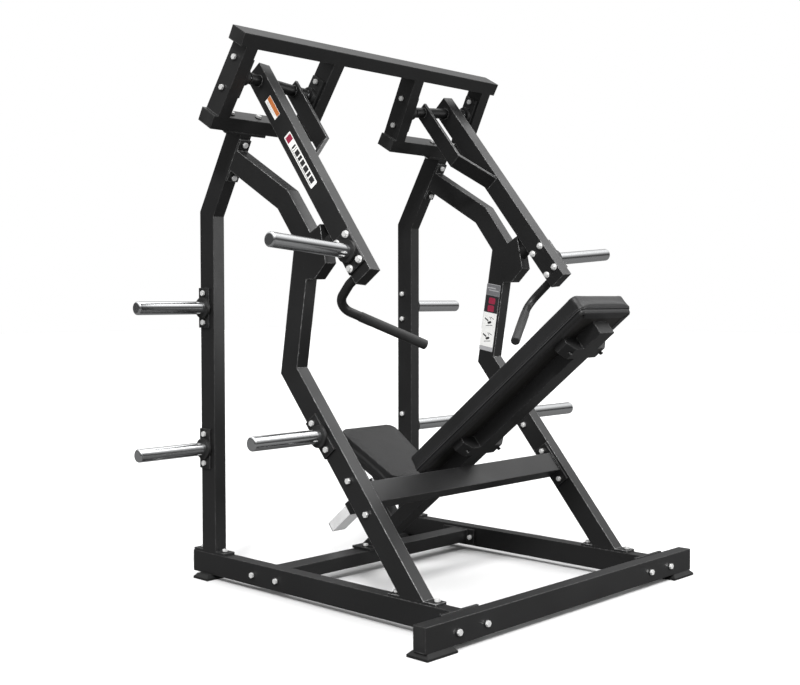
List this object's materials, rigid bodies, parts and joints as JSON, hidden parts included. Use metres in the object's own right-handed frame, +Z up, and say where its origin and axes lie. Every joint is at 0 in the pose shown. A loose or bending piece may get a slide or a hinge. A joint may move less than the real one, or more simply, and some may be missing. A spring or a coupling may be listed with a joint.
{
  "type": "plate-loaded incline press machine",
  "caption": "Plate-loaded press machine with two independent overhead-pivoted arms, a reclined bench, a sliding seat and plate storage pegs.",
  "frame": {"origin": "floor level, at the middle of the whole machine in width and depth at rest", "axes": "+Z up, +Y from the head of the bench toward the uprights, +X to the right-hand arm of a viewer looking along +Y; X is across the plane of symmetry"},
  "size_m": [1.8432, 1.506, 2.0169],
  "materials": {
    "black_powder_coat": "satin black powder coat with a fine texture",
    "vinyl": "black upholstery vinyl with a fine grain and soft sheen",
    "plywood": "stained plywood backing board",
    "rubber": "matte moulded rubber",
    "black_plastic": "moulded nylon",
    "chrome": "polished chrome plate with light scuffs from plates",
    "zinc_steel": "bright zinc plated bolts",
    "black_steel": "black oxide washers",
    "cast_iron": "painted cast bearing housings",
    "ground_steel": "ground and oiled shaft steel"
  },
  "bodies": {
    "frame": {"backrest_board": "plywood", "backrest_bolts": "zinc_steel", "backrest_pad": "vinyl", "bench_frame": "black_powder_coat", "bench_tie_tube": "black_powder_coat", "frame_bolts": "zinc_steel", "frame_nuts": "zinc_steel", "frame_washers": "black_steel", "front_beam": "black_powder_coat", "head_frame": "black_powder_coat", "left_base_rail": "black_powder_coat", "left_bearing_housings": "cast_iron", "left_front_leg": "black_powder_coat", "left_rear_upright": "black_powder_coat", "mid_cross_beam": "black_powder_coat", "pin_housing": "black_powder_coat", "right_base_rail": "black_powder_coat", "right_bearing_housings": "cast_iron", "right_front_leg": "black_powder_coat", "right_rear_upright": "black_powder_coat", "rubber_feet": "rubber", "seat_bushing": "black_plastic", "stop_bumpers": "rubber", "storage_peg_collars": "black_plastic", "storage_peg_plates": "black_powder_coat", "storage_pegs": "chrome", "tube_end_caps": "black_plastic"},
    "right_arm": {"right_arm_bolts": "zinc_steel", "right_arm_end_caps": "black_plastic", "right_arm_nuts": "zinc_steel", "right_bearing_rings": "ground_steel", "right_grip": "rubber", "right_handle": "black_powder_coat", "right_loading_peg": "chrome", "right_loading_peg_collar": "black_plastic", "right_loading_peg_plate": "black_powder_coat", "right_pivot_shaft": "ground_steel", "right_press_arm": "black_powder_coat"},
    "left_arm": {"left_arm_bolts": "zinc_steel", "left_arm_end_caps": "black_plastic", "left_arm_nuts": "zinc_steel", "left_bearing_rings": "ground_steel", "left_grip": "rubber", "left_handle": "black_powder_coat", "left_loading_peg": "chrome", "left_loading_peg_collar": "black_plastic", "left_loading_peg_plate": "black_powder_coat", "left_pivot_shaft": "ground_steel", "left_press_arm": "black_powder_coat"},
    "seat": {"seat_board": "plywood", "seat_bolts": "zinc_steel", "seat_bracket": "black_powder_coat", "seat_pad": "vinyl", "seat_post": "chrome", "seat_post_cap": "black_plastic"},
    "seat_pin": {"pull_pin": "zinc_steel", "pull_pin_knob": "black_plastic"}
  },
  "joints": [
    {"name": "right_arm_press", "type": "hinge", "parent": "frame", "child": "right_arm", "pos_m": [0.441, 0.391, 1.84099], "axis": [-0.9959, 0.0453, -0.0785], "range_deg": [0, 50]},
    {"name": "left_arm_press", "type": "hinge", "parent": "frame", "child": "left_arm", "pos_m": [-0.441, 0.391, 1.84099], "axis": [-0.9959, -0.0453, 0.0785], "range_deg": [0, 50]},
    {"name": "seat_slide", "type": "slide", "parent": "frame", "child": "seat", "axis": [0, -0.7727, 0.6347], "range_m": [0, 0.12]},
    {"name": "seat_pin_pull", "type": "slide", "parent": "frame", "child": "seat_pin", "axis": [1, 0, 0], "range_m": [0, 0.012]}
  ]
}
